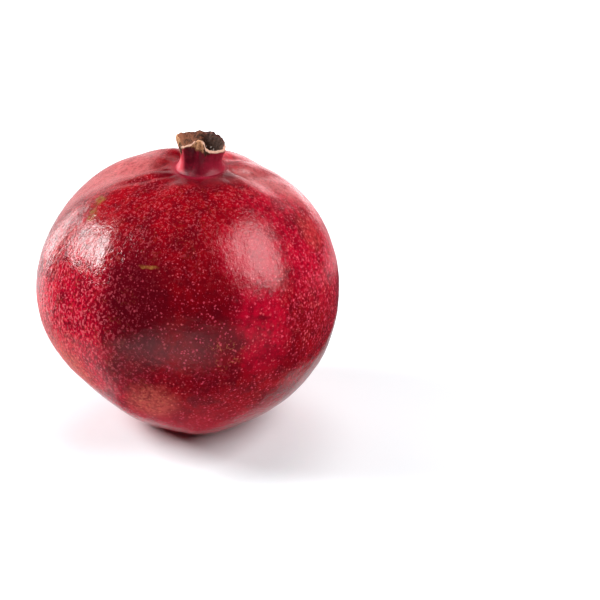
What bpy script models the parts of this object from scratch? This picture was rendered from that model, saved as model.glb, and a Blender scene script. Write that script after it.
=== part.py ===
"""A whole pomegranate, standing on its stem end with its crown up.

The rind and its crown grew as one piece, so they are one solid. The dried stamens in the
crown and the clipped woody stem under the fruit are the two other pieces.
Metres, +Z up. The origin is on the resting plane, under the middle of the fruit's box.
"""

import math

import bpy
from mathutils import Vector

MM = 0.001

# The body: an egg shape with a flatter top half, cut off level where it rests.
BODY_RADIUS = 48.7 * MM
BODY_MIDDLE_Z = 46.8 * MM
TOP_HALF = 43.0 * MM
BOTTOM_HALF = 48.2 * MM
REST_RING_INNER = 7.6 * MM

# The crown: a short hollow neck that flares to a torn rim.
CROWN_BASE_Z = 87.1 * MM
CROWN_HEIGHT = 8.6 * MM
CROWN_WAIST_RADIUS = 6.6 * MM
CROWN_RIM_RADIUS = 7.4 * MM
CROWN_WALL = 1.4 * MM
CROWN_FLARE = 3.2 * MM
CUP_RADIUS = 5.4 * MM
CUP_DEPTH = 9.6 * MM

# The crown and the foot sit to the +X side of the body's middle, and the crown leans that way.
CROWN_OFFSET_X = 4.9 * MM
FOOT_OFFSET_X = 2.0 * MM
OFFSET_SPREAD = 26.0 * MM
CROWN_LEAN_X = 0.8 * MM

# The clipped stem in its hollow under the fruit.
STEM_RADIUS = 3.2 * MM
STEM_BOTTOM_Z = 0.8 * MM
STEM_TOP_Z = 6.3 * MM

# The dried stamens stop this far below the cup's rim and clear of its wall.
STAMEN_HEIGHT = 5.3 * MM
STAMEN_CLEARANCE = 0.8 * MM

# Pieces that touch on the real fruit keep this gap here.
GAP = 0.3 * MM

# Steps of each turned outline about its axis.
RIND_STEPS = 60
SMALL_STEPS = 24

# Soft ridges from the crown down over the sides: bearing in degrees, height, half width in degrees,
# and how many degrees the bearing shifts for each degree above the middle.
RIDGES = (
    (-162, 0.6 * MM, 15, 0.0),
    (-119, 0.7 * MM, 8, -0.3),
    (-44, 0.4 * MM, 15, 0.0),
    (20, 0.4 * MM, 15, 0.0),
    (82, 0.5 * MM, 15, 0.0),
    (145, 1.2 * MM, 14, 0.0),
)

# Folds between the ridges, next to the crown: bearing in degrees, depth and half width in degrees.
# A negative depth is a swelling.
FOLDS = (
    (172, 2.0 * MM, 13),
    (122, -1.0 * MM, 11),
    (53, -0.3 * MM, 9),
    (33, 1.2 * MM, 8),
    (-10, 1.6 * MM, 12),
    (-72, 0.6 * MM, 15),
    (-131, 0.9 * MM, 14),
)
FOLD_START = 8.5 * MM
FOLD_DEEPEST = 15.0 * MM
FOLD_END = 44.0 * MM

# Flattened places, and one fuller place with a negative depth: bearing and lift above the
# middle in degrees, depth, and half width in degrees.
FLATS = (
    (40, 46, 0.5 * MM, 15),
    (2, -28, -1.2 * MM, 20),
    (-150, -45, 3.4 * MM, 20),
    (-166, -28, 1.4 * MM, 16),
    (-85, -30, 0.5 * MM, 20),
    (62, -24, 1.0 * MM, 26),
    (112, 4, 0.8 * MM, 24),
    (-86, 12, 1.2 * MM, 26),
)

# What is left of the crown's lobes: bearing and half width in degrees, then rise above the rim
# and outward lean.
LOBE_STUMPS = (
    (-176, 14, 3.4 * MM, 1.0 * MM),
    (-120, 24, 2.0 * MM, -0.2 * MM),
    (-87, 12, 3.8 * MM, -1.3 * MM),
    (2, 24, -0.4 * MM, 0.3 * MM),
    (82, 46, 1.8 * MM, 0.0),
    (150, 14, 1.2 * MM, 0.2 * MM),
)
NECK_CORNERS = 6
NECK_CORNER_BEARING = -86
NECK_CORNER_RISE = 0.3 * MM

# Shallow lobes round the foot.
FOOT_LOBES = 5
FOOT_LOBE_BEARING = -8
FOOT_LOBE_SHARE = 0.05
FOOT_LOBE_TOP = 20.0 * MM


def clear_scene():
    for obj in list(bpy.data.objects):
        bpy.data.objects.remove(obj, do_unlink=True)


def material(name, color, roughness):
    made = bpy.data.materials.new(name)
    made.use_nodes = True
    shader = made.node_tree.nodes["Principled BSDF"]
    shader.inputs["Base Color"].default_value = (*color, 1.0)
    shader.inputs["Roughness"].default_value = roughness
    shader.inputs["Metallic"].default_value = 0.0
    return made


def smooth(low, high, value):
    """0 below low, 1 above high, and an S between them."""
    share = min(1.0, max(0.0, (value - low) / (high - low)))
    return share * share * (3.0 - 2.0 * share)


def bell(away, half_width):
    """1 at no distance, fading to 0 at about two half widths."""
    return math.exp(-((away / half_width) ** 2))


def turn_between(bearing, middle):
    """Degrees from the middle bearing to this one, between -180 and 180."""
    return (bearing - middle + 180.0) % 360.0 - 180.0


def body_outline(start, end, count):
    """Points (r, z) down the body's side. Angles are from straight up, in degrees."""
    points = []
    for i in range(count):
        angle = math.radians(start + (end - start) * i / (count - 1))
        half = TOP_HALF if angle < 0.5 * math.pi else BOTTOM_HALF
        points.append((BODY_RADIUS * math.sin(angle), BODY_MIDDLE_Z + half * math.cos(angle)))
    return points


def crown_outline():
    """The cup's floor, its wall, the rim and the neck's outside, from the axis outwards and down."""
    rim_z = CROWN_BASE_Z + CROWN_HEIGHT
    floor_z = rim_z - CUP_DEPTH
    rim_inner = CROWN_RIM_RADIUS - CROWN_WALL
    edge = 0.3 * MM
    cup = [
        (0.0, floor_z),
        (0.45 * CUP_RADIUS, floor_z),
        (0.84 * CUP_RADIUS, floor_z + 0.05 * CUP_DEPTH),
        (0.97 * CUP_RADIUS, floor_z + 0.18 * CUP_DEPTH),
        (CUP_RADIUS, floor_z + 0.40 * CUP_DEPTH),
        (CUP_RADIUS, floor_z + 0.60 * CUP_DEPTH),
        (CUP_RADIUS + edge, floor_z + 0.78 * CUP_DEPTH),
    ]
    rim = [
        (rim_inner, rim_z - 2.0 * edge),
        (rim_inner + edge, rim_z),
        (CROWN_RIM_RADIUS - edge, rim_z),
        (CROWN_RIM_RADIUS, rim_z - 2.0 * edge),
    ]
    neck = [
        (CROWN_WAIST_RADIUS + edge, CROWN_BASE_Z + 0.70 * CROWN_HEIGHT),
        (CROWN_WAIST_RADIUS, CROWN_BASE_Z + 0.50 * CROWN_HEIGHT),
    ]
    for turn in (15.0, 40.0, 65.0, 90.0):
        angle = math.radians(turn)
        out = CROWN_WAIST_RADIUS + CROWN_FLARE * (1.0 - math.cos(angle))
        neck.append((out, CROWN_BASE_Z + 0.40 * CROWN_HEIGHT * (1.0 - math.sin(angle))))
    return cup + rim + neck


def foot_outline():
    """The inner edge of the flat ring under the fruit, the hollow inside it and the stem's seat."""
    seat = STEM_RADIUS + GAP
    hollow = REST_RING_INNER - seat
    return [
        (REST_RING_INNER, 0.0),
        (seat + 0.70 * hollow, 0.08 * STEM_TOP_Z),
        (seat + 0.30 * hollow, 0.32 * STEM_TOP_Z),
        (seat + 0.10 * hollow, 0.46 * STEM_TOP_Z),
        (seat, 0.56 * STEM_TOP_Z),
        (seat, STEM_TOP_Z + GAP),
        (0.0, STEM_TOP_Z + GAP),
    ]


def rind_outline():
    """(r, z) points of the whole rind, from the cup's floor over the rim and down to the stem's seat."""
    level_angle = math.degrees(math.acos(-BODY_MIDDLE_Z / BOTTOM_HALF))
    side = body_outline(17, level_angle, 28)
    ring_outer = (side.pop()[0], 0.0)
    return crown_outline() + side + [ring_outer] + foot_outline()


def swollen(point, radius, bearing):
    """The ridges, folds and flattened places of the body, moved along lines from its middle."""
    spoke = point - Vector((0.0, 0.0, BODY_MIDDLE_Z))
    lift = math.degrees(math.atan2(spoke.z, radius))
    sides = 1.0 - smooth(50.0, 80.0, abs(lift))
    ridges = 0.0
    for ridge_bearing, high, width, twist in RIDGES:
        ridges += high * bell(turn_between(bearing, ridge_bearing + twist * max(0.0, lift)), width)
    move = ridges * sides
    if lift > 0.0:
        beside_crown = smooth(FOLD_START, FOLD_DEEPEST, radius) - smooth(FOLD_DEEPEST, FOLD_END, radius)
        folds = sum(deep * bell(turn_between(bearing, at), width) for at, deep, width in FOLDS)
        move -= folds * beside_crown
    for flat_bearing, flat_lift, depth, width in FLATS:
        across = turn_between(bearing, flat_bearing) * math.cos(math.radians(lift))
        move -= depth * bell(math.hypot(across, lift - flat_lift), width)
    above_rest = smooth(0.0, 8.0 * MM, point.z)
    return point + spoke.normalized() * move * above_rest


def crown_shaped(point, bearing):
    """Six soft corners on the neck, its lean, and the stumps of the lobes on the rim."""
    radial = Vector((math.cos(math.radians(bearing)), math.sin(math.radians(bearing)), 0.0))
    up = max(0.0, (point.z - CROWN_BASE_Z) / CROWN_HEIGHT)
    corner = math.cos(math.radians(NECK_CORNERS * (bearing - NECK_CORNER_BEARING)))
    moved = point + radial * (NECK_CORNER_RISE * corner * smooth(0.0, 0.35, up))
    near_rim = smooth(0.35, 1.0, up)
    rise = sum(high * bell(turn_between(bearing, at), width) for at, width, high, _ in LOBE_STUMPS)
    lean = sum(out * bell(turn_between(bearing, at), width) for at, width, _, out in LOBE_STUMPS)
    moved += (Vector((0.0, 0.0, rise)) + radial * lean) * near_rim
    return moved + Vector((CROWN_LEAN_X * up, 0.0, 0.0))


def off_centre(point, radius, height):
    """Moves what is near the axis to the side that the crown and the foot sit on."""
    upper = smooth(BODY_MIDDLE_Z, CROWN_BASE_Z, height)
    lower = 1.0 - smooth(0.0, BODY_MIDDLE_Z, height)
    shift = (CROWN_OFFSET_X * upper + FOOT_OFFSET_X * lower) * bell(radius, OFFSET_SPREAD)
    return point + Vector((shift, 0.0, 0.0))


def grown(co):
    """Where a point of the turned rind ends up on the real, uneven fruit."""
    radius = math.hypot(co.x, co.y)
    bearing = math.degrees(math.atan2(co.y, co.x))
    point = co.copy()
    if radius > CROWN_WAIST_RADIUS + 0.6 * CROWN_FLARE:
        point = swollen(point, radius, bearing)
    elif co.z > CROWN_BASE_Z + CROWN_HEIGHT - 1.1 * CUP_DEPTH:
        point = crown_shaped(point, bearing)
    near_foot = (1.0 - smooth(0.0, FOOT_LOBE_TOP, co.z)) * smooth(STEM_RADIUS + 7.0 * GAP, 10.5 * MM, radius)
    lobe = math.cos(math.radians(FOOT_LOBES * (bearing - FOOT_LOBE_BEARING)))
    widened = 1.0 + FOOT_LOBE_SHARE * near_foot * lobe
    point.x *= widened
    point.y *= widened
    return off_centre(point, radius, co.z)


def turned(name, outline, steps):
    """A closed mesh made by turning an outline about the Z axis."""
    mesh = bpy.data.meshes.new(name + "_outline")
    corners = [(radius, 0.0, z) for radius, z in outline]
    mesh.from_pydata(corners, [(i, i + 1) for i in range(len(corners) - 1)], [])
    source = bpy.data.objects.new(name + "_outline", mesh)
    bpy.context.scene.collection.objects.link(source)
    screw = source.modifiers.new("turn", "SCREW")
    screw.steps = steps
    screw.render_steps = steps
    screw.use_merge_vertices = True
    screw.merge_threshold = 0.01 * MM
    evaluated = source.evaluated_get(bpy.context.evaluated_depsgraph_get())
    solid = bpy.data.meshes.new_from_object(evaluated)
    solid.name = name
    bpy.data.objects.remove(source, do_unlink=True)
    return solid


def add_piece(collection, mesh, surface):
    mesh.materials.clear()
    mesh.materials.append(surface)
    mesh.shade_smooth()
    mesh.set_sharp_from_angle(angle=math.radians(40))
    piece = bpy.data.objects.new(mesh.name, mesh)
    collection.objects.link(piece)


def make_rind(collection):
    mesh = turned("rind", rind_outline(), RIND_STEPS)
    for vertex in mesh.vertices:
        vertex.co = grown(vertex.co)
    add_piece(collection, mesh, material("rind_skin", (0.36, 0.012, 0.025), 0.34))


def make_stamens(collection):
    """The mat of dried stamens as one plain plug in the cup, with a hollow top."""
    bottom_z = CROWN_BASE_Z + CROWN_HEIGHT - CUP_DEPTH + GAP
    outer = CUP_RADIUS - STAMEN_CLEARANCE
    outline = [
        (0.0, bottom_z + 0.72 * STAMEN_HEIGHT),
        (0.45 * outer, bottom_z + 0.80 * STAMEN_HEIGHT),
        (0.80 * outer, bottom_z + STAMEN_HEIGHT),
        (0.95 * outer, bottom_z + 0.96 * STAMEN_HEIGHT),
        (outer, bottom_z + 0.66 * STAMEN_HEIGHT),
        (0.90 * outer, bottom_z + 0.26 * STAMEN_HEIGHT),
        (0.72 * outer, bottom_z + 0.10 * STAMEN_HEIGHT),
        (0.0, bottom_z),
    ]
    mesh = turned("dried_stamens", outline, SMALL_STEPS)
    for vertex in mesh.vertices:
        vertex.co = off_centre(vertex.co, CUP_RADIUS, CROWN_BASE_Z)
    add_piece(collection, mesh, material("dry_stamen", (0.13, 0.06, 0.035), 0.85))


def make_stem(collection):
    """The woody stem, clipped off just short of the resting plane."""
    edge = 0.1 * STEM_RADIUS
    outline = [
        (0.0, STEM_TOP_Z),
        (STEM_RADIUS - edge, STEM_TOP_Z),
        (STEM_RADIUS, STEM_TOP_Z - edge),
        (STEM_RADIUS - 0.3 * edge, 0.5 * (STEM_BOTTOM_Z + STEM_TOP_Z)),
        (STEM_RADIUS, STEM_BOTTOM_Z + 2.0 * edge),
        (STEM_RADIUS - edge, STEM_BOTTOM_Z),
        (0.0, STEM_BOTTOM_Z),
    ]
    mesh = turned("stem_stub", outline, SMALL_STEPS)
    for vertex in mesh.vertices:
        vertex.co = off_centre(vertex.co, STEM_RADIUS, 0.0)
    add_piece(collection, mesh, material("stem_wood", (0.30, 0.20, 0.12), 0.8))


def main():
    clear_scene()
    collection = bpy.data.collections.new("pomegranate")
    bpy.context.scene.collection.children.link(collection)
    make_rind(collection)
    make_stamens(collection)
    make_stem(collection)


main()
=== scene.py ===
# %% [markdown]
# # A whole pomegranate
# The real thing is one ripe fruit that stands on its stem end with its crown up. Its rind and crown
# grew as one leathery piece. Two dry things belong to it: the mat of stamens left in the cup of
# the crown, and the woody stub of stem in a hollow underneath.
# The solids that carry size and weight are loaded first and stay as they are. Everything after that
# cell makes finer pieces that stand where those solids stand.

# %% Load the fixed frame
import math
import random

import bmesh
import bpy
from mathutils import Matrix, Quaternion, Vector, noise


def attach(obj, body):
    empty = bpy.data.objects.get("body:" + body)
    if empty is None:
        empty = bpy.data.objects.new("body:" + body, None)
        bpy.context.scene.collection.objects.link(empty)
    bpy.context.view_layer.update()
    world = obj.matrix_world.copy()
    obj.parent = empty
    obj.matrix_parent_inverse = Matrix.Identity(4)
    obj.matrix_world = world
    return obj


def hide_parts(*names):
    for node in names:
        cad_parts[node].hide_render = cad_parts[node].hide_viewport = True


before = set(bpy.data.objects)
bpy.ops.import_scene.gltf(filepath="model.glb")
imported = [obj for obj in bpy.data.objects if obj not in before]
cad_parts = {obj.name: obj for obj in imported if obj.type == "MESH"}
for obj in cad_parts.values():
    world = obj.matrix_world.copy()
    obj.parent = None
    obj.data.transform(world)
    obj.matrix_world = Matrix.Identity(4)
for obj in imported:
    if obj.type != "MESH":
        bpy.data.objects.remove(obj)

MM = 0.001
scene = bpy.context.scene
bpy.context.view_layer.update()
print("solids:", sorted(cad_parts))

# %% [markdown]
# ## The camera
# A studio camera with a long lens looks down on the fruit at 26 degrees. A short lens close by would
# show the same outline but would swell the near side, so distance comes first and the lens is
# worked out from how much width the frame should hold. The fruit stands left of the middle.
# The lens and its sensor are in mm, as Blender has them, and everything else is in metres.

# %% Camera
VIEW_DOWN = math.radians(26.0)
VIEW_DISTANCE = 950.0 * MM
FRAME_WIDTH = 193.5 * MM
SENSOR_WIDTH = 36.0
FRUIT_LEFT_OF_MIDDLE = 36.1 * MM
FRUIT_ABOVE_MIDDLE = 5.2 * MM
BODY_MIDDLE_Z = 46.8 * MM

view_line = Vector((0.0, math.cos(VIEW_DOWN), -math.sin(VIEW_DOWN)))
view_up = Vector((0.0, math.sin(VIEW_DOWN), math.cos(VIEW_DOWN)))
fruit_middle = Vector((0.0, 0.0, BODY_MIDDLE_Z))
aim = fruit_middle + Vector((FRUIT_LEFT_OF_MIDDLE, 0.0, 0.0)) - view_up * FRUIT_ABOVE_MIDDLE
lens = bpy.data.cameras.new("camera")
lens.sensor_width = SENSOR_WIDTH
lens.lens = lens.sensor_width * VIEW_DISTANCE / FRAME_WIDTH
camera = bpy.data.objects.new("camera", lens)
camera.location = aim - view_line * VIEW_DISTANCE
camera.rotation_euler = (0.5 * math.pi - VIEW_DOWN, 0.0, 0.0)
scene.collection.objects.link(camera)
scene.camera = camera
print("lens", round(lens.lens, 1), "mm, camera at", [round(c, 3) for c in camera.location])

# %% [markdown]
# ## Shader maths that reads like maths
# A finish is a web of nodes. Dragging wires is quick for five nodes and hopeless for fifty, so two
# small classes do it here. `Flow` is a number on its way out of a node: adding or multiplying flows
# puts Math nodes in the web. `Finish` holds one web, and its `node` method makes any other node.

# %% A number that flows out of a node
class Flow:
    """One output of a node. Python's + - * and / on it add Math nodes."""

    def __init__(self, finish, socket):
        self.finish = finish
        self.socket = socket

    def maths(self, operation, first, second):
        return self.finish.node("ShaderNodeMath", {"operation": operation}, {0: first, 1: second})

    def __add__(self, other):
        return self.maths("ADD", self, other)

    def __radd__(self, other):
        return self.maths("ADD", other, self)

    def __sub__(self, other):
        return self.maths("SUBTRACT", self, other)

    def __rsub__(self, other):
        return self.maths("SUBTRACT", other, self)

    def __mul__(self, other):
        return self.maths("MULTIPLY", self, other)

    def __rmul__(self, other):
        return self.maths("MULTIPLY", other, self)

    def __truediv__(self, other):
        return self.maths("DIVIDE", self, other)

    def __rtruediv__(self, other):
        return self.maths("DIVIDE", other, self)

    def larger(self, other):
        return self.maths("MAXIMUM", self, other)

    def size(self):
        return self.maths("ABSOLUTE", self, 0.0)


# %% A web of nodes
class Finish:
    """The nodes of one material, or of the studio's surroundings."""

    def __init__(self, tree):
        self.tree = tree

    def node(self, kind, settings, sockets, out=0):
        """Adds a node: its settings first, then its sockets. Gives back one of its outputs."""
        made = self.tree.nodes.new(kind)
        for name, setting in settings.items():
            setattr(made, name, setting)
        for name, value in sockets.items():
            self.feed(made.inputs[name], value)
        return Flow(self, made.outputs[out])

    def feed(self, entry, value):
        """Joins a flow to a socket, or sets a constant on it."""
        if isinstance(value, Flow):
            self.tree.links.new(value.socket, entry)
        else:
            entry.default_value = value

    def fade(self, value, low, high):
        """0 at low, 1 at high and an S between. With low above high it falls instead."""
        settings = {"interpolation_type": "SMOOTHSTEP"}
        return self.node("ShaderNodeMapRange", settings, {0: value, 1: low, 2: high})

    def vector(self, operation, first, second, out=0):
        sockets = {0: first, 1: second}
        if operation == "SCALE":
            sockets = {0: first, "Scale": second}
        return self.node("ShaderNodeVectorMath", {"operation": operation}, sockets, out)

    def parts(self, vector):
        """The x, y and z of a vector as three flows."""
        split = self.node("ShaderNodeSeparateXYZ", {}, {0: vector}).socket.node
        return [Flow(self, socket) for socket in split.outputs]

    def mix(self, share, first, second):
        """One colour going over to another: the first at a share of 0, the second at 1."""
        sockets = {0: share, 6: first, 7: second}
        return self.node("ShaderNodeMix", {"data_type": "RGBA"}, sockets, out=2)

    def cloud(self, at, grain, detail=2.0, roughness=0.5):
        """Soft noise between 0 and 1, with a pattern about this many mm across."""
        sockets = {"Vector": at, "Scale": 1.0 / grain, "Detail": detail, "Roughness": roughness}
        return self.node("ShaderNodeTexNoise", {}, sockets)

    def drift(self, at, grain, reach):
        """The same place, pushed about by up to half of reach in each direction."""
        sockets = {"Vector": at, "Scale": 1.0 / grain, "Detail": 1.0}
        push = self.node("ShaderNodeTexNoise", {}, sockets, out=1)
        centred = self.vector("SUBTRACT", push, (0.5, 0.5, 0.5))
        return self.vector("ADD", at, self.vector("SCALE", centred, reach))


# %% A new material
def material_finish(name, **constants):
    """A material, its web and its shader node. Constants are set on the shader's own sockets."""
    made = bpy.data.materials.new(name)
    made.use_nodes = True
    shader = made.node_tree.nodes["Principled BSDF"]
    for socket, value in constants.items():
        shader.inputs[socket.replace("_", " ")].default_value = value
    finish = Finish(made.node_tree)
    finish.material = made
    finish.shader = shader
    place = finish.node("ShaderNodeTexCoord", {}, {}, out="Object")
    finish.here = finish.vector("SCALE", place, 1.0 / MM)
    return finish


# %% [markdown]
# ## The lamps
# A shiny fruit shows its lights, so they are placed for the gloss and not only for brightness. A
# strong softbox up on the left gives the hard white highlight. A weak panel stands low behind the
# left side. A wide softbox high on the right gives the pink veil there.
# One big lamp could be just as bright, but its mirror image would cover the skin's red.

# %% Softboxes
def softbox(name, bearing, lift, width, height, brightness, turn=0.0):
    """A lamp 1 m off that faces the fruit's middle. Brightness 1 looks paper white; turn rolls it."""
    flat = math.cos(math.radians(lift))
    away = Vector((
        flat * math.cos(math.radians(bearing)),
        flat * math.sin(math.radians(bearing)),
        math.sin(math.radians(lift)),
    ))
    lamp = bpy.data.lights.new(name, "AREA")
    lamp.shape = "RECTANGLE"
    lamp.size = width
    lamp.size_y = height
    lamp.energy = brightness * math.pi * width * height
    box = bpy.data.objects.new(name, lamp)
    box.location = fruit_middle + away
    rolled = Quaternion((0.0, 0.0, 1.0), math.radians(turn))
    box.rotation_euler = (away.to_track_quat("Z", "Y") @ rolled).to_euler()
    scene.collection.objects.link(box)
    print(name, "at", [round(c, 2) for c in box.location], round(lamp.energy, 1), "W")


softbox("left_softbox", bearing=173.0, lift=33.0, width=0.38, height=0.44, brightness=28.0, turn=38.0)
softbox("low_left_panel", bearing=131.0, lift=3.0, width=0.24, height=0.48, brightness=5.0)
softbox("right_softbox", bearing=-20.0, lift=40.0, width=0.56, height=0.78, brightness=8.0, turn=-28.0)

# %% [markdown]
# ## Coloured cards
# Glossy skin mirrors what lies round it. On white paper its lower half would look milky, so card is
# laid beside it, as a studio photographer does: dark red in front and at the right, where the deep
# colour has to stay, and pink where the skin may be paler.
# The cards are hidden from the camera, from soft light and from shadows, so they change the gloss
# alone. Darker paper would do the same, but it would also darken the background.

# %% A flat sheet, and cards made of it
def flat_sheet(name, low, high, height):
    """A level rectangle between two corners, in metres."""
    sheet = bmesh.new()
    bmesh.ops.create_grid(sheet, x_segments=1, y_segments=1, size=0.5)
    bmesh.ops.scale(sheet, verts=sheet.verts, vec=(high[0] - low[0], high[1] - low[1], 1.0))
    middle = (0.5 * (low[0] + high[0]), 0.5 * (low[1] + high[1]), height)
    bmesh.ops.translate(sheet, verts=sheet.verts, vec=middle)
    data = bpy.data.meshes.new(name)
    sheet.to_mesh(data)
    sheet.free()
    laid = bpy.data.objects.new(name, data)
    scene.collection.objects.link(laid)
    print(name, round(high[0] - low[0], 3), "by", round(high[1] - low[1], 3), "m")
    return laid


CARD_HEIGHT = 1.0 * MM


def card(name, low, high, colour):
    """A matt card just over the floor that only the skin's gloss can see."""
    flag = flat_sheet(name, low, high, CARD_HEIGHT)
    flag.visible_camera = False
    flag.visible_shadow = False
    flag.visible_diffuse = False
    flag.data.materials.append(material_finish(name, Roughness=1.0, Base_Color=colour).material)


card("red_card_right", low=(0.058, -0.10), high=(0.6, 0.12), colour=(0.14, 0.010, 0.025, 1.0))
card("red_card_front", low=(-0.034, -0.098), high=(0.060, -0.052), colour=(0.18, 0.008, 0.022, 1.0))
card("pink_card_right", low=(0.058, 0.12), high=(0.6, 0.26), colour=(0.80, 0.36, 0.40, 1.0))
card("pink_card_front_left", low=(-0.105, -0.10), high=(-0.034, -0.048), colour=(0.42, 0.22, 0.23, 1.0))
card("pink_card_front_right", low=(0.035, -0.20), high=(0.105, -0.098), colour=(0.40, 0.16, 0.17, 1.0))
card("pink_card_under", low=(-0.034, -0.052), high=(0.060, -0.026), colour=(0.56, 0.17, 0.20, 1.0))
card("pink_card_left", low=(-0.105, -0.025), high=(-0.040, 0.09), colour=(0.85, 0.44, 0.44, 1.0))

# %% [markdown]
# ## The room
# The room is nearly black in front of the fruit and white behind it, in narrow stretches. The white
# rim on the skin is their mirror image at a glancing angle. Towards the right they turn pink, or
# the rim there would look grey. The camera itself sees plain white everywhere.
# A world of one flat white would be simpler, but the front would lose its deep red.

# %% White stretches behind, dark in front
ROOM_DARK = 0.03
STRETCH_WHITE = 1.40
CAMERA_WHITE = 1.6
WHITE = (1.0, 1.0, 1.0, 1.0)
PALE_PINK = (1.15, 0.84, 0.86, 1.0)
WARM_PINK = (1.25, 0.72, 0.76, 1.0)

world = bpy.data.worlds.new("studio")
world.use_nodes = True
scene.world = world
room = Finish(world.node_tree)
outwards = room.node("ShaderNodeTexCoord", {}, {}, out="Generated")
up = room.parts(outwards)[2]
level = room.vector("MULTIPLY", outwards, (1.0, 1.0, 0.0))
side, depth, _ = room.parts(room.vector("NORMALIZE", level, (0.0, 0.0, 0.0)))

left_back = room.fade(depth - 0.40 * side, 0.88, 1.02) * room.fade(up, 0.60, 0.40)
left_back = left_back * (0.32 + 0.20 * room.fade(side, -0.38, -0.16))
left_side = room.fade(side, -0.50, -0.62) * room.fade(depth - 0.45 * side, 0.88, 0.98)
left_side = left_side * room.fade(up, 0.36, 0.22)
right_bright = 1.8 * room.fade(depth, 0.90, 0.955) * room.fade(side, 0.0, 0.10)
right_weak = 0.6 * room.fade(depth, 0.72, 0.88) * room.fade(up, 0.08, 0.28)
right_back = right_bright.larger(right_weak) * room.fade(up, 0.50, 0.34)
behind = left_back.larger(left_side).larger(right_back)

tint = room.mix(room.fade(side, -0.50, -0.30), WHITE, PALE_PINK)
tint = room.mix(room.fade(side, 0.05, 0.40), tint, WARM_PINK)
to_camera = room.node("ShaderNodeLightPath", {}, {}, out="Is Camera Ray")
glow = ROOM_DARK + STRETCH_WHITE * behind
background = world.node_tree.nodes["Background"]
room.feed(background.inputs["Color"], room.mix(to_camera, tint, WHITE))
room.feed(background.inputs["Strength"], glow + to_camera * (CAMERA_WHITE - glow))
scene.view_settings.view_transform = "Standard"
print("the room's web has", len(room.tree.nodes), "nodes")

# %% [markdown]
# ## The floor
# The floor is a sheet of cool white paper. It is small, because the skin mirrors it and its edges
# decide how far up the fruit the white reaches. Round the fruit's foot it has a painted reddish
# shadow with painted red bounce light. It looks a little brighter to the camera than to the fruit, so
# that it runs into the white room, but less so in front of the fruit, which paints a shadow there. A
# floor without an end would be simpler, but it would veil the lower skin.

# %% Paper
PAPER_LOW = (-0.105, -0.60)
PAPER_HIGH = (0.15, 0.20)
PAPER_LIGHT = (0.755, 0.80, 0.82, 1.0)
PAPER_DARK = (0.735, 0.78, 0.80, 1.0)
PAINTED_RED_SHADOW = (0.62, 0.40, 0.42, 1.0)
FIBRE_GRAIN = 3.0

floor = flat_sheet("floor", PAPER_LOW, PAPER_HIGH, 0.0)

paper = material_finish("floor_paper", Roughness=1.0, Specular_IOR_Level=0.0)
fibres = paper.cloud(paper.here, FIBRE_GRAIN)
paper_colour = paper.mix(fibres, PAPER_LIGHT, PAPER_DARK)
from_foot = paper.vector("DISTANCE", paper.here, (0.0, 0.0, 0.0), out="Value")
# Painted reddish shadow and red bounce light round the fruit's foot.
paper_colour = paper.mix(0.7 * paper.fade(from_foot, 27.0, 12.0), paper_colour, PAINTED_RED_SHADOW)
from_shadow = paper.vector("DISTANCE", paper.here, (-2.0, -20.0, 0.0), out="Value")
to_camera = paper.node("ShaderNodeLightPath", {}, {}, out="Is Camera Ray")
# Painted shadow: the camera sees the floor lifted less in front of the fruit.
extra = (0.18 + 0.42 * paper.fade(from_shadow, 30.0, 60.0)) * to_camera
lifted = paper.vector("SCALE", paper_colour, 1.0 + extra)
paper.feed(paper.shader.inputs["Base Color"], lifted)
floor.data.materials.append(paper.material)
print("the paper's web has", len(paper.tree.nodes), "nodes")

# %% [markdown]
# ## The outline of the rind
# The body is turned like clay on a wheel: one outline, from the floor of the crown's cup, up over
# the rim, down the neck and the side, and into the hollow for the stem. Sculpting would give the
# same softness, but an outline keeps every size in one place.
# Sizes are the solid's own, so the fine skin lies where the plain solid lies.

# %% Sizes of the rind
BODY_RADIUS = 48.7 * MM
TOP_HALF = 43.0 * MM
BOTTOM_HALF = 48.2 * MM
REST_RING_INNER = 7.6 * MM
CROWN_BASE_Z = 87.1 * MM
CROWN_HEIGHT = 8.6 * MM
CROWN_WAIST_RADIUS = 6.6 * MM
CROWN_RIM_RADIUS = 7.4 * MM
CROWN_WALL = 1.4 * MM
CROWN_FLARE = 2.2 * MM
FLARE_HEIGHT = 5.0 * MM
FLARE_END_Z = CROWN_BASE_Z + 0.15 * MM
CUP_RADIUS = 5.4 * MM
CUP_DEPTH = 9.6 * MM
STEM_RADIUS = 3.2 * MM
STEM_BOTTOM_Z = 0.8 * MM
STEM_TOP_Z = 6.3 * MM
GAP = 0.3 * MM
print("turned body", round(2.0 * BODY_RADIUS / MM, 1), "mm wide before it swells")

# %% The outline's three stretches, as points
RIM_Z = CROWN_BASE_Z + CROWN_HEIGHT
RIM_INNER = CROWN_RIM_RADIUS - CROWN_WALL
EDGE = 0.3 * MM
FLARE_TURNS = (5.0, 20.0, 35.0, 50.0, 60.0, 64.0)
SIDE_START = math.radians(17.0)


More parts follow.
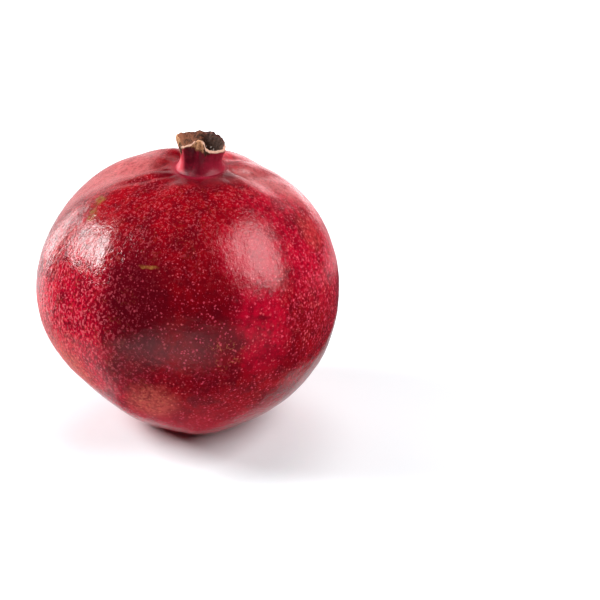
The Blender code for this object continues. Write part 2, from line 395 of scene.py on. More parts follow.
def crown_outline():
    """(r, z) of the cup's floor and wall, the rim, the neck and the flare at its foot."""
    floor_z = RIM_Z - CUP_DEPTH
    points = [
        (0.0, floor_z),
        (0.45 * CUP_RADIUS, floor_z),
        (0.84 * CUP_RADIUS, floor_z + 0.05 * CUP_DEPTH),
        (0.97 * CUP_RADIUS, floor_z + 0.18 * CUP_DEPTH),
        (CUP_RADIUS, floor_z + 0.40 * CUP_DEPTH),
        (CUP_RADIUS, floor_z + 0.60 * CUP_DEPTH),
        (CUP_RADIUS + EDGE, floor_z + 0.78 * CUP_DEPTH),
        (RIM_INNER, RIM_Z - 2.0 * EDGE),
        (RIM_INNER + EDGE, RIM_Z),
        (CROWN_RIM_RADIUS - EDGE, RIM_Z),
        (CROWN_RIM_RADIUS, RIM_Z - 2.0 * EDGE),
        (CROWN_WAIST_RADIUS + EDGE, CROWN_BASE_Z + 0.70 * CROWN_HEIGHT),
    ]
    for turn in FLARE_TURNS:
        angle = math.radians(turn)
        out = CROWN_WAIST_RADIUS + CROWN_FLARE * (1.0 - math.cos(angle))
        points.append((out, FLARE_END_Z + FLARE_HEIGHT * (1.0 - math.sin(angle))))
    return points


def side_outline(count=28):
    """(r, z) down the body from beside the crown to the ring that it rests on."""
    end = math.acos(-BODY_MIDDLE_Z / BOTTOM_HALF)
    points = []
    for i in range(count):
        angle = SIDE_START + (end - SIDE_START) * i / (count - 1)
        half = TOP_HALF if angle < 0.5 * math.pi else BOTTOM_HALF
        points.append((BODY_RADIUS * math.sin(angle), BODY_MIDDLE_Z + half * math.cos(angle)))
    ring_outer = (points.pop()[0], 0.0)
    return points + [ring_outer]


def foot_outline():
    """(r, z) from the ring's inner edge up the hollow to the stem's seat."""
    seat = STEM_RADIUS + GAP
    hollow = REST_RING_INNER - seat
    return [
        (REST_RING_INNER, 0.0),
        (seat + 0.70 * hollow, 0.08 * STEM_TOP_Z),
        (seat + 0.30 * hollow, 0.32 * STEM_TOP_Z),
        (seat + 0.10 * hollow, 0.46 * STEM_TOP_Z),
        (seat, 0.56 * STEM_TOP_Z),
        (seat, STEM_TOP_Z + GAP),
        (0.0, STEM_TOP_Z + GAP),
    ]


outline = crown_outline() + side_outline() + foot_outline()
print("outline", len(outline), "points")

# %% [markdown]
# ## Rows of the fine skin
# A turned surface needs rows close enough that a torn edge can be pulled out of them, yet few
# enough to stay light. A smooth curve through the outline is cut into short steps near the crown and
# longer ones on the body. Adding a Subdivision Surface would make the same number of faces
# everywhere, also where nothing happens.

# %% A smooth curve through the outline
CROWN_ROW = 0.26 * MM
BODY_ROW = 0.62 * MM


def row_step(point):
    """How far apart the rows are here."""
    near_crown = point.x < 1.4 * CROWN_WAIST_RADIUS and point.y > BODY_MIDDLE_Z
    return CROWN_ROW if near_crown else BODY_ROW


def curve_through(points):
    """(r, z) along a curve that passes every point and never dips under the floor."""
    dots = [Vector(point) for point in points]
    dots = [2.0 * dots[0] - dots[1]] + dots + [2.0 * dots[-1] - dots[-2]]
    rows = []
    for before, start, end, after in zip(dots, dots[1:], dots[2:], dots[3:]):
        reach = (end - start).length
        leave = (end - before).normalized() * reach
        arrive = (after - start).normalized() * reach
        steps = max(1, round(reach / row_step(start)))
        for i in range(steps):
            t = i / steps
            hold = (1.0 + 2.0 * t) * (1.0 - t) ** 2
            row = start * hold + end * (1.0 - hold)
            row += leave * t * (1.0 - t) ** 2 - arrive * t * t * (1.0 - t)
            rows.append(Vector((row.x, max(0.0, row.y))))
    return rows + [dots[-2]]


rows = curve_through(outline)
print("rows", len(rows))

# %% [markdown]
# ## The body's own unevenness
# A pomegranate is never round. Six soft ridges run down from the crown, with folds between them and
# narrow creases close to the neck, and there are places where the fruit pressed against a branch.
# Sculpting would make these too, but nobody could read its sizes afterwards. Here each one is a row
# in a list: a small move along a line from the body's middle that fades out like a bell.

# %% Fades and turns
def smooth(low, high, value):
    """0 below low, 1 above high, and an S between them."""
    share = min(1.0, max(0.0, (value - low) / (high - low)))
    return share * share * (3.0 - 2.0 * share)


def bell(away, half_width):
    """1 at no distance, fading to 0 at about two half widths."""
    return math.exp(-((away / half_width) ** 2))


def turn_between(bearing, middle):
    """Degrees from the middle bearing to this one, between -180 and 180."""
    return (bearing - middle + 180.0) % 360.0 - 180.0


print("a bell at one half width:", round(bell(1.0, 1.0), 2))

# %% Ridges, folds, creases and flattened places
# Bearing, height, half width in degrees, and how far the bearing drifts per degree of lift.
RIDGES = (
    (-162, 0.6 * MM, 15, 0.0),
    (-119, 0.7 * MM, 8, -0.3),
    (-44, 0.4 * MM, 15, 0.0),
    (20, 0.4 * MM, 15, 0.0),
    (82, 0.5 * MM, 15, 0.0),
    (145, 1.2 * MM, 14, 0.0),
)
# Bearing, depth and half width. A negative depth is a swelling.
FOLDS = (
    (172, 2.0 * MM, 13),
    (122, -1.0 * MM, 11),
    (53, -0.3 * MM, 9),
    (33, 1.2 * MM, 8),
    (-10, 1.6 * MM, 12),
    (-72, 0.6 * MM, 15),
    (-131, 0.9 * MM, 14),
)
# Bearing, depth, half width, and how far the bearing drifts per mm outwards.
CREASES = (
    (-46, 0.22 * MM, 8.0, 0.9),
    (-8, 0.70 * MM, 6.0, 1.1),
    (-170, 0.50 * MM, 5.0, -2.0),
    (-146, 0.55 * MM, 5.0, -1.5),
)
# Bearing, lift above the middle, depth and half width. A negative depth is a swelling.
FLATS = (
    (40, 46, 0.5 * MM, 15),
    (2, -28, -1.2 * MM, 20),
    (-150, -45, 3.4 * MM, 20),
    (-166, -28, 1.4 * MM, 16),
    (-85, -30, 0.5 * MM, 20),
    (62, -24, 1.0 * MM, 26),
    (112, 4, 0.8 * MM, 24),
    (-86, 12, 1.2 * MM, 26),
)
print(len(RIDGES), "ridges,", len(FOLDS), "folds,", len(CREASES), "creases,", len(FLATS), "flats")

# %% One point of the body
RIDGE_FADE_START = 50.0
RIDGE_FADE_END = 80.0
FOLD_START = 8.5 * MM
FOLD_DEEPEST = 15.0 * MM
FOLD_END = 44.0 * MM
CREASE_START = 12.0 * MM
CREASE_END = 36.0 * MM
REST_FADE = 8.0 * MM


def ridge_height(bearing, lift):
    """How far the ridges stand out here."""
    height = 0.0
    for at, high, width, twist in RIDGES:
        height += high * bell(turn_between(bearing, at + twist * max(0.0, lift)), width)
    return height * (1.0 - smooth(RIDGE_FADE_START, RIDGE_FADE_END, abs(lift)))


def fold_depth(bearing, radius):
    """How deep the folds and creases are here, on the upper half."""
    folds = sum(deep * bell(turn_between(bearing, at), width) for at, deep, width in FOLDS)
    folds *= smooth(FOLD_START, FOLD_DEEPEST, radius) - smooth(FOLD_DEEPEST, FOLD_END, radius)
    creases = 0.0
    for at, deep, width, twist in CREASES:
        bent_at = at + twist * (radius - CREASE_START) / MM
        creases += deep * bell(turn_between(bearing, bent_at), width)
    creases *= smooth(FOLD_START, CREASE_START, radius) - smooth(FOLD_DEEPEST, CREASE_END, radius)
    return folds + creases


def swollen(point, radius, bearing):
    """Moves a point of the turned body to where it is on the uneven fruit."""
    spoke = point - fruit_middle
    lift = math.degrees(math.atan2(spoke.z, radius))
    move = ridge_height(bearing, lift)
    if lift > 0.0:
        move -= fold_depth(bearing, radius)
    for at, flat_lift, deep, width in FLATS:
        across = turn_between(bearing, at) * math.cos(math.radians(lift))
        move -= deep * bell(math.hypot(across, lift - flat_lift), width)
    return point + spoke.normalized() * move * smooth(0.0, REST_FADE, point.z)


widest = swollen(Vector((BODY_RADIUS, 0.0, BODY_MIDDLE_Z)), BODY_RADIUS, 0.0)
print("the right side stands", round(widest.x / MM, 2), "mm from the middle")

# %% [markdown]
# ## The torn crown
# When the flower fell, six stiff lobes stayed round the cup. Most broke off: what is left is a dry
# flap leaning out at the left, a folded stub at the front, a ragged dry wall at the back and, at the
# front right, a clean tear that shows the pale flesh.
# Lobes could be modelled one by one and joined, but the joins would show. Each of these is instead
# a height and a lean of the one rim, so short lists round the rim describe them all.

# %% The rim, bearing by bearing
# Bearing, and how far the torn edge stands above the turned one in mm.
RIM_RISE = (
    (-172, 2.7), (-160, 2.2), (-151, 1.0), (-144, 1.2), (-125, 2.3), (-111, 3.5),
    (-100, 3.85), (-85, 3.7), (-79, 1.3), (-68, 0.4), (-50, -0.1), (-25, -0.4), (-5, -0.8),
    (12, -0.9), (30, -0.4), (50, 0.9), (63, 1.6), (84, 1.2), (103, 1.6), (125, 1.8),
    (150, 2.3), (168, 2.6),
)
# Bearing, and how far the rim leans out in mm.
RIM_LEAN = (
    (180, 1.2), (-163, 0.6), (-150, 0.0), (-128, -0.2), (-112, -0.9), (-90, -1.2),
    (-80, -0.3), (-60, 0.0), (20, 0.2), (60, 0.0), (140, 0.1), (165, 0.6),
)


def round_the_rim(points, bearing):
    """Reads a list of (bearing, value) at any bearing, with an S between neighbours."""
    ahead = min(points, key=lambda point: (point[0] - bearing) % 360.0)
    back = min(points, key=lambda point: (bearing - point[0]) % 360.0)
    span = (ahead[0] - back[0]) % 360.0
    share = smooth(0.0, max(span, 0.001), (bearing - back[0]) % 360.0)
    return back[1] + (ahead[1] - back[1]) * share


print("the torn edge is", round_the_rim(RIM_RISE, -5), "mm up at the right")
print("and", round_the_rim(RIM_RISE, -100), "mm up at the front stub")

# %% Where the crown has dried, and the painted shade on the neck
# Bearing, and how far down from the edge the skin is dead in mm.
DRY_DEPTH = (
    (180, 3.0), (-160, 3.6), (-151, 3.2), (-141, 0.2), (-124, 0.3), (-117, 1.6),
    (-106, 3.2), (-88, 3.6), (-80, 2.6), (-71, 1.6), (-63, 0.0), (-56, -1.0), (4, -1.0),
    (16, 0.8), (40, 1.4), (90, 2.0), (150, 2.6),
)
# Bearing, and how dark it dried, from 0 to 1.
DRY_DARKNESS = (
    (180, 0.15), (-165, 0.3), (-153, 0.7), (-140, 0.3), (-118, 0.35), (-100, 0.1),
    (-88, 0.1), (-80, 0.75), (-70, 0.95), (-55, 0.7), (20, 0.85), (45, 0.9), (75, 0.8),
    (100, 0.5), (125, 0.35), (155, 0.3),
)
# Bearing, and how much of the tear is fresh flesh, from 0 to 1.
FLESH_SHARE = (
    (-156, 0.0), (-148, 0.8), (-116, 1.0), (-108, 0.15), (-92, 0.15), (-86, 1.0), (2, 1.0),
    (14, 0.0), (120, 0.0),
)
# Bearing, and how much the wall thins towards the rim in mm.
THINNING = (
    (180, 0.8), (-130, 0.7), (-88, 0.7), (-80, 0.4), (0, 0.5), (20, 0.8),
)
# Bearing, and how strong the painted shade on the neck is, from 0 to 1.
NECK_SHADE = (
    (180, 0.0), (-150, 0.1), (-139, 1.0), (-105, 1.0), (-80, 0.55), (-40, 0.35), (0, 0.2),
    (90, 0.3),
)
print("flesh at the front right:", round_the_rim(FLESH_SHARE, -40))

# %% One point of the crown
NECK_CORNERS = 6
NECK_CORNER_BEARING = -86
NECK_CORNER_RISE = 0.3 * MM
CROWN_LEAN_X = 0.8 * MM
CUT_SLOPE = 0.45 * MM
NECK_RIPPLE = 0.10 * MM
STUB_FOLD_BEARING = -87
STUB_FOLD_WIDTH = 3.5
STUB_FOLD_RISE = 0.40 * MM
CRUMPLE = 0.55 * MM


def ragged(bearing, grain, seed):
    """Noise round a circle, between about -1 and 1, that closes without a step."""
    angle = math.radians(bearing)
    return noise.noise(Vector((grain * math.cos(angle), grain * math.sin(angle), seed)))


def torn_edge(bearing, dry):
    """How far the edge rises here in mm. Dry skin tears raggedly and fresh flesh cleanly."""
    tear = 0.40 * ragged(bearing, 4.3, 2.0) + 0.22 * ragged(bearing, 9.1, 5.0)
    tear += 0.12 * ragged(bearing, 23.0, 7.0)
    return round_the_rim(RIM_RISE, bearing) + tear * (0.25 + 0.75 * dry)


def crown_shaped(point, bearing, inside):
    """Moves a point of the turned crown to its place on the torn one."""
    radial = Vector((math.cos(math.radians(bearing)), math.sin(math.radians(bearing)), 0.0))
    up = max(0.0, (point.z - CROWN_BASE_Z) / CROWN_HEIGHT)
    near_rim = smooth(0.35, 1.0, up)
    dry = 1.0 - round_the_rim(FLESH_SHARE, bearing)
    corner = math.cos(math.radians(NECK_CORNERS * (bearing - NECK_CORNER_BEARING)))
    out = NECK_CORNER_RISE * corner * smooth(0.0, 0.35, up)
    out += NECK_RIPPLE * ragged(bearing, 6.0, 0.3 * up) * smooth(0.1, 0.5, up)
    out += round_the_rim(RIM_LEAN, bearing) * MM * near_rim
    out += round_the_rim(THINNING, bearing) * MM * inside * near_rim
    stub_fold = bell(turn_between(bearing, STUB_FOLD_BEARING), STUB_FOLD_WIDTH)
    out += STUB_FOLD_RISE * stub_fold * smooth(0.75, 0.95, up)
    crumple = noise.noise(Vector((0.09 * bearing, 2.2 * up, 3.0)))
    out += CRUMPLE * crumple * dry * smooth(0.55, 0.9, up)
    slope = -CUT_SLOPE * (1.0 - dry) * (1.0 - inside) * smooth(0.86, 0.97, up)
    lift = Vector((CROWN_LEAN_X * up, 0.0, torn_edge(bearing, dry) * MM * near_rim + slope))
    return point + radial * out + lift


rim_front = crown_shaped(Vector((0.0, -CROWN_RIM_RADIUS, RIM_Z)), -90.0, 0.0)
print("the front of the rim stands at", round(rim_front.z / MM, 2), "mm")

# %% [markdown]
# ## Spinning and shaping the rind
# Blender's spin turns the outline about the Z axis, and use_merge closes the seam. Then every
# point is moved: body points swell and fold, crown points tear and lean, and both shift a little to
# one side, because a real crown doesn't sit on the fruit's middle.
# The Screw modifier would turn the outline too, but a bmesh lets each point be moved by rule.

# %% Shifting and lobing
CROWN_OFFSET_X = 4.9 * MM
FOOT_OFFSET_X = 2.0 * MM
OFFSET_SPREAD = 26.0 * MM
FOOT_LOBES = 5
FOOT_LOBE_BEARING = -8
FOOT_LOBE_SHARE = 0.05
FOOT_LOBE_TOP = 20.0 * MM
FOOT_LOBE_START = STEM_RADIUS + 7.0 * GAP
FOOT_LOBE_FULL = 10.5 * MM


def off_centre(point, radius, height):
    """Moves what is near the axis to the side that the crown and the foot sit on."""
    upper = smooth(BODY_MIDDLE_Z, CROWN_BASE_Z, height)
    lower = 1.0 - smooth(0.0, BODY_MIDDLE_Z, height)
    shift = (CROWN_OFFSET_X * upper + FOOT_OFFSET_X * lower) * bell(radius, OFFSET_SPREAD)
    return point + Vector((shift, 0.0, 0.0))


def foot_widening(radius, bearing, height):
    """Shallow lobes round the foot."""
    near = (1.0 - smooth(0.0, FOOT_LOBE_TOP, height)) * smooth(FOOT_LOBE_START, FOOT_LOBE_FULL, radius)
    lobe = math.cos(math.radians(FOOT_LOBES * (bearing - FOOT_LOBE_BEARING)))
    return 1.0 + FOOT_LOBE_SHARE * near * lobe


print("the foot widens by up to", round(100.0 * (foot_widening(11.0 * MM, -8.0, 0.0) - 1.0), 1), "%")

# %% From the turned rind to the grown one
BODY_START_RADIUS = CROWN_WAIST_RADIUS + 0.7 * CROWN_FLARE
CUP_START_Z = RIM_Z - 1.1 * CUP_DEPTH
HOLLOW_DEPTH = 0.12 * MM
WIDE_HOLLOW = 9.0 * MM
FINE_HOLLOW = 4.0 * MM
HOLLOWS_START = 9.0 * MM
HOLLOWS_FULL = 14.0 * MM


def dented(point, radius, height):
    """Moves a point of the body inwards by soft noise, which gives shallow hollows."""
    hollows = noise.noise(point / WIDE_HOLLOW) + 0.5 * noise.noise(point / FINE_HOLLOW)
    inward = (point - fruit_middle).normalized() * HOLLOW_DEPTH * (hollows - 1.0)
    return point + inward * smooth(0.0, REST_FADE, height) * smooth(HOLLOWS_START, HOLLOWS_FULL, radius)


def inside_cup(radius, height):
    """1 on the cup's wall, 0 on the neck's outside, and a fade over the rim."""
    if height < RIM_Z - 2.5 * EDGE and radius < RIM_INNER + 0.1 * EDGE:
        return 1.0
    return 1.0 - smooth(RIM_INNER + 0.3 * EDGE, CROWN_RIM_RADIUS - EDGE, radius)


def grown(co):
    """Where a point of the turned rind ends up on the real fruit."""
    radius = math.hypot(co.x, co.y)
    bearing = math.degrees(math.atan2(co.y, co.x))
    point = co.copy()
    if radius > BODY_START_RADIUS:
        point = dented(swollen(point, radius, bearing), radius, co.z)
    elif co.z > CUP_START_Z:
        point = crown_shaped(point, bearing, inside_cup(radius, co.z))
    widened = foot_widening(radius, bearing, co.z)
    point.x *= widened
    point.y *= widened
    return off_centre(point, radius, co.z)


# %% Spin the outline
RIND_STEPS = 280
MERGE_DISTANCE = 0.001 * MM


def spun(outline_rows, steps):
    """A closed bmesh made by turning (r, z) rows about the Z axis."""
    mesh = bmesh.new()
    dots = [mesh.verts.new((row.x, 0.0, row.y)) for row in outline_rows]
    lines = [mesh.edges.new(pair) for pair in zip(dots, dots[1:])]
    bmesh.ops.spin(
        mesh,
        geom=dots + lines,
        cent=(0.0, 0.0, 0.0),
        axis=(0.0, 0.0, 1.0),
        angle=2.0 * math.pi,
        steps=steps,
        use_merge=True,
    )
    bmesh.ops.remove_doubles(mesh, verts=mesh.verts, dist=MERGE_DISTANCE)
    bmesh.ops.recalc_face_normals(mesh, faces=mesh.faces)
    return mesh


rind = spun(rows, RIND_STEPS)
print("rind faces", len(rind.faces), "volume", round(rind.calc_volume() / MM**3 / 1000.0, 1), "cm3")

# %% [markdown]
# ## Marking the crown for its finish
# The skin, the torn flesh, the dry brown parts and the lining of the cup run into one another on
# one surface. Separate materials would meet in a hard saw-tooth edge, so each point stores how
# much it is of each, and one material blends them.

# %% Store what each point is, then move it
ZONES = ("flesh", "dry", "lining", "darkness", "neck", "neck_shade")


def zones_at(co):
    """What a point of the turned rind is: one share for each of ZONES, from 0 to 1."""
    radius = math.hypot(co.x, co.y)
    bearing = math.degrees(math.atan2(co.y, co.x))
    if co.z < CROWN_BASE_Z - 1.5 * MM or radius > 2.2 * CROWN_WAIST_RADIUS:
        return (0.0,) * len(ZONES)
    across = smooth(RIM_INNER - 0.1 * EDGE, RIM_INNER + 0.9 * EDGE, radius)
    lining = (1.0 - across) * smooth(CROWN_BASE_Z - 1.4 * MM, CROWN_BASE_Z - 1.0 * MM, co.z)
    on_cut = smooth(RIM_Z - 1.5 * EDGE, RIM_Z - 0.8 * EDGE, co.z)
    flesh = round_the_rim(FLESH_SHARE, bearing) * on_cut
    near_rim = smooth(0.35, 1.0, 1.0 - (RIM_Z - co.z) / CROWN_HEIGHT)
    below = (RIM_Z - co.z) / MM + round_the_rim(RIM_RISE, bearing) * (1.0 - near_rim)
    depth = round_the_rim(DRY_DEPTH, bearing)
    wander = 0.9 * ragged(bearing, 5.0, 9.0) + 0.5 * noise.noise(co / (0.7 * MM))
    dry = (1.0 - smooth(depth - 0.5, depth + 0.5, below + wander)) * across
    neck = (1.0 - smooth(1.15 * CROWN_WAIST_RADIUS, 1.6 * CROWN_WAIST_RADIUS, radius)) * across
    neck_shade = neck * round_the_rim(NECK_SHADE, bearing)
    return flesh, dry, lining, round_the_rim(DRY_DARKNESS, bearing), neck, neck_shade


layers = [rind.verts.layers.float.new(name) for name in ZONES]
for vertex in rind.verts:
    for layer, value in zip(layers, zones_at(vertex.co)):
        vertex[layer] = value
    vertex.co = grown(vertex.co)
print("top of the crown", round(max(vertex.co.z for vertex in rind.verts) / MM, 2), "mm")

# %% Make it a piece
SHARP_ANGLE = math.radians(60.0)


def add_piece(name, mesh, finish, node):
    """Puts a bmesh in the scene as a finished piece that stands for one solid."""
    data = bpy.data.meshes.new(name)
    mesh.to_mesh(data)
    mesh.free()
    data.materials.append(finish.material)
    data.shade_smooth()
    data.set_sharp_from_angle(angle=SHARP_ANGLE)
    piece = bpy.data.objects.new(name, data)
    scene.collection.objects.link(piece)
    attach(piece, "root")
    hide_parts(node)
    print(name, len(data.polygons), "faces")


print("edges past", round(math.degrees(SHARP_ANGLE)), "degrees stay crisp")

# %% [markdown]
# ## The skin
# Ripe skin is crimson, dulled by darker clouds and tanned where it rubbed. Painted light makes it
# lighter where the lamps light it, and painted shade makes it darker where they don't reach. The wax
# on it is thin, so it shines softly.
# A painted image would be simpler but would stretch at the poles. Here every mark is worked out
# from its place in space, so there is no seam.

# %% Places on the skin
def on_skin(bearing, lift):
    """A place on the body in mm, from its bearing and its lift above the middle in degrees."""
    flat = math.cos(math.radians(lift))
    steep = math.sin(math.radians(lift))
    half = TOP_HALF if lift > 0.0 else BOTTOM_HALF
    length = 1.0 / math.hypot(flat / BODY_RADIUS, steep / half)
    x = length * flat * math.cos(math.radians(bearing))
    y = length * flat * math.sin(math.radians(bearing))
    return (x / MM, y / MM, (BODY_MIDDLE_Z + length * steep) / MM)


skin = material_finish("rind_skin", IOR=1.38)
here = skin.here
east, north, height = skin.parts(here)
wavy = skin.drift(here, 5.0, 5.0)


def patch(bearing, lift, radius, stretch=(1.0, 1.0, 1.0)):
    """A soft patch with a wavy edge, radius in mm. It is narrow along an axis with a big stretch."""
    squeezed = skin.vector("MULTIPLY", wavy, stretch)
    middle = tuple(c * s for c, s in zip(on_skin(bearing, lift), stretch))
    away = skin.vector("DISTANCE", squeezed, middle, out="Value")
    return skin.fade(away, 1.25 * radius, 0.45 * radius)


def report(step):
    """Prints how big the skin's web has grown."""
    print(step, "done,", len(skin.tree.nodes), "nodes in the skin's web")


print("a place on the front:", [round(c, 1) for c in on_skin(-90, 0)])

# %% Crimson, and painted light where the lamps fall
CRIMSON = (0.26, 0.001, 0.006, 1.0)
SCARLET = (0.33, 0.001, 0.007, 1.0)
PAINTED_LIGHT_RED = (0.68, 0.004, 0.036, 1.0)

broad = skin.fade(skin.cloud(here, 26.0, 2.0), 0.40, 0.62)
colour = skin.mix(broad, CRIMSON, SCARLET)
# Painted light: lighter red on the lamp-lit left side, round the right highlight, on the right and on
# the right shoulder.
painted_light = patch(-150, -12, 38.0).larger(0.9 * patch(-54, 33, 12.5))
painted_light = painted_light.larger(0.75 * patch(-16, 33, 26.0)).larger(0.7 * patch(25, 68, 11.0))
painted_light = painted_light.larger(0.65 * patch(-59, 7, 11.0, (1.0, 1.0, 0.6)))
painted_light = painted_light.larger(0.5 * patch(-128, 16, 12.0))
# Less painted light under the left highlight.
under_gloss = patch(-160, 32, 17.0)
colour = skin.mix(0.9 * painted_light * (1.0 - 0.45 * under_gloss), colour, PAINTED_LIGHT_RED)
report("crimson")

# %% Clouds, from broad ones to a mottle
MAROON = (0.10, 0.001, 0.006, 1.0)

calm = 1.0 - 0.65 * patch(-60, 36, 15.0)
clouds = skin.fade(skin.cloud(here, 9.0, 4.0, 0.6), 0.46, 0.66)
stains = skin.fade(skin.cloud(wavy, 4.5, 3.0, 0.6), 0.48, 0.62)
mottle = skin.fade(skin.cloud(here, 1.9, 2.0, 0.6), 0.42, 0.66)
colour = skin.mix(0.45 * clouds * calm, colour, MAROON)
colour = skin.mix(0.42 * mottle * calm, colour, MAROON)
colour = skin.mix(0.40 * stains * calm, colour, MAROON)
report("clouds")

# %% Dull and tanned places, painted shade, and painted floor light
DULL = (0.19, 0.012, 0.018, 1.0)
PAINTED_FLOOR_LIGHT = (0.55, 0.022, 0.045, 1.0)
RUSSET = (0.72, 0.12, 0.09, 1.0)

dull = patch(-91, 3, 13.0, (0.75, 1.0, 1.35)).larger(patch(-111, -8, 8.0))
colour = skin.mix(0.25 * dull, colour, DULL)
# Painted shade: a darker band down the front left, where neither lamp reaches.
painted_shade = patch(-109, 18, 13.5, (1.15, 1.0, 0.52)).larger(0.5 * patch(-110, -4, 10.0, (1.0, 1.0, 0.7)))
colour = skin.mix(0.85 * painted_shade, colour, MAROON)
# Painted shade: a darker column on the front, below the right highlight.
colour = skin.mix(0.50 * patch(-78, 2, 10.0, (1.0, 1.0, 0.40)), colour, MAROON)
# Painted light from the floor: paler, greyer red towards the bottom.
near_floor = skin.fade(skin.parts(wavy)[2], 26.0, 9.0)
colour = skin.mix(0.55 * near_floor, colour, PAINTED_FLOOR_LIGHT)
tan = patch(-104, -26, 9.0).larger(patch(-146, -24, 14.0)).larger(0.4 * patch(-15, 30, 7.0))
colour = skin.mix(0.6 * tan * (1.0 - 0.5 * mottle), colour, RUSSET)
report("dull and tanned places")

# %% [markdown]
# ## Painted sheen
# The shoulders carry a painted pale sheen, the glancing reflection of the white room behind. It lies
# over the back left shoulder, and as a strip along the right one that runs straight towards the crown.
# Round patches would be quicker, but seen from above they look like spots of paint. Here each
# area has four soft sides, and soft noise leaves it uneven.

# %% Painted sheen on the shoulders
PAINTED_SHEEN = (0.80, 0.24, 0.24, 1.0)

shoulder = skin.fade(north, -7.0, 5.0) * skin.fade(north, 40.0, 16.0)
shoulder = shoulder * skin.fade(east, -6.0, -14.0) * skin.fade(height, 62.0, 74.0)
# How far a place is from a straight line over the fruit, seen from above.
strip_away = (0.93 * north - 0.37 * east + 10.1).size()
strip_away = strip_away + 7.0 * (skin.cloud(here, 9.0, 2.0, 0.5) - 0.5)
strip = 0.85 * skin.fade(strip_away, 8.5, 0.0) * skin.fade(east, 6.0, 17.0)
strip = strip * skin.fade(east, 46.0, 30.0) * skin.fade(height, 58.0, 74.0)
uneven = 0.60 + 0.40 * skin.fade(skin.cloud(here, 5.0, 3.0, 0.6), 0.36, 0.60)
painted_sheen = (0.62 * shoulder).larger(strip).larger(0.25 * patch(25, 68, 11.0))
colour = skin.mix(0.9 * painted_sheen * uneven, colour, PAINTED_SHEEN)
report("painted_sheen")

# %% [markdown]
# ## Flecks
# The skin is sprinkled with pale corky flecks, and each one grew over a pore: dense where the sun
# burnt, sparse in the shade, and dimmer still under the painted shade. Real little discs would be many
# thousands of faces for no visible
# height, so they are colour. A Voronoi pattern scatters one point per cell, and a fleck is what
# lies near that point. Bending the space first turns dots into commas. Where they crowd, noise cut
# off at a high level adds worm-like curls, and cut off at a low level it adds dark gaps.

# %% Dots in the cells of a pattern
def cells(at, cell):
    """Distance to the nearest point scattered one to a cell, and three random numbers of the cell."""
    sockets = {"Vector": at, "Scale": 1.0 / cell}
    distance = skin.node("ShaderNodeTexVoronoi", {}, sockets)
    colours = Flow(skin, distance.socket.node.outputs["Color"])
    return distance, skin.parts(colours)


def flecks(at, cell, size, keep):
    """One soft dot in each kept cell, each of its own size and strength."""
    distance, (chance, how_big, how_pale) = cells(at, cell)
    reach = size * (0.6 + 0.8 * how_big)
    inside = skin.fade(distance / reach, 1.0, 0.45)
    return inside * skin.fade(keep - chance, 0.0, 0.05) * (0.5 + 0.5 * how_pale)


# %% Where they grow, and how densely
CROWN_EAST = 5.0

left = patch(-148, 4, 36.0)
right = patch(-20, 16, 30.0)
top = skin.fade(height, 60.0, 82.0)
crowded = left.larger(0.45 * top).larger(0.42 * right)
crowded = crowded.larger(0.6 * patch(-112, -16, 15.0)).larger(0.2 * broad)
seen_from_above = skin.vector("MULTIPLY", here, (1.0, 1.0, 0.0))
from_crown = skin.vector("DISTANCE", seen_from_above, (CROWN_EAST, 0.0, 0.0), out="Value")
open_skin = skin.fade(from_crown, 10.0, 19.0)

bent = skin.drift(here, 1.1, 0.9)
worms = skin.cloud(skin.vector("MULTIPLY", bent, (1.0, 1.0, 0.75)), 0.85, 1.0)
curls = skin.fade(worms, 0.56, 0.65) * crowded
gaps = skin.fade(worms, 0.48, 0.36) * crowded
dots = flecks(bent, 1.15, 0.32 - 0.11 * top + 0.10 * right, 0.92)
pinpricks = flecks(bent, 0.6, 0.30, 0.40 + 0.30 * top)
marks = dots.larger(0.6 * pinpricks).larger(0.8 * curls) * open_skin
report("fleck patterns")

# %% Fleck colours
FLECK_PINK = (0.86, 0.15, 0.19, 1.0)
FLECK_RED = (0.92, 0.085, 0.15, 1.0)
FLECK_TAN = (0.78, 0.19, 0.10, 1.0)

tan_share = tan.larger(0.25 * skin.fade(skin.cloud(here, 7.0, 1.0), 0.50, 0.70))
fleck_colour = skin.mix(left.larger(top), FLECK_RED, FLECK_PINK)
fleck_colour = skin.mix(tan_share, fleck_colour, FLECK_TAN)
# Flecks are dimmer under the painted shade.
strength = 0.72 - 0.22 * painted_shade - 0.14 * top + 0.12 * right
colour = skin.mix(0.65 * gaps, colour, MAROON)
colour = skin.mix(marks * strength, colour, fleck_colour)
report("flecks")

# %% [markdown]
# ## Scars
# Small accidents make it one particular fruit: a scrape, two olive bruises and a net of russet
# threads. Drawing them on an image would be quick, but they would need a map of the skin. Each is
# a patch multiplied by a finer pattern, so that its edge isn't a circle.

# %% Bruises, a scrape and russet threads
OLIVE = (0.22, 0.13, 0.015, 1.0)
SCRAPED = (0.38, 0.16, 0.04, 1.0)
THREAD = (0.45, 0.13, 0.05, 1.0)

bits = skin.fade(skin.cloud(here, 0.8, 2.0), 0.42, 0.58)
bruises = patch(-157, 50, 2.6).larger(patch(-152, 44, 2.4))
colour = skin.mix(bruises * (0.15 + 0.55 * bits), colour, OLIVE)

from_scrape = skin.vector("SUBTRACT", skin.drift(here, 2.0, 1.2), on_skin(-106, 31))
from_scrape = skin.vector("MULTIPLY", from_scrape, (0.28, 0.6, 1.9))
scrape = skin.fade(skin.vector("LENGTH", from_scrape, (0.0, 0.0, 0.0), out="Value"), 1.3, 0.5)
colour = skin.mix(scrape * (0.35 + 0.35 * bits), colour, SCRAPED)

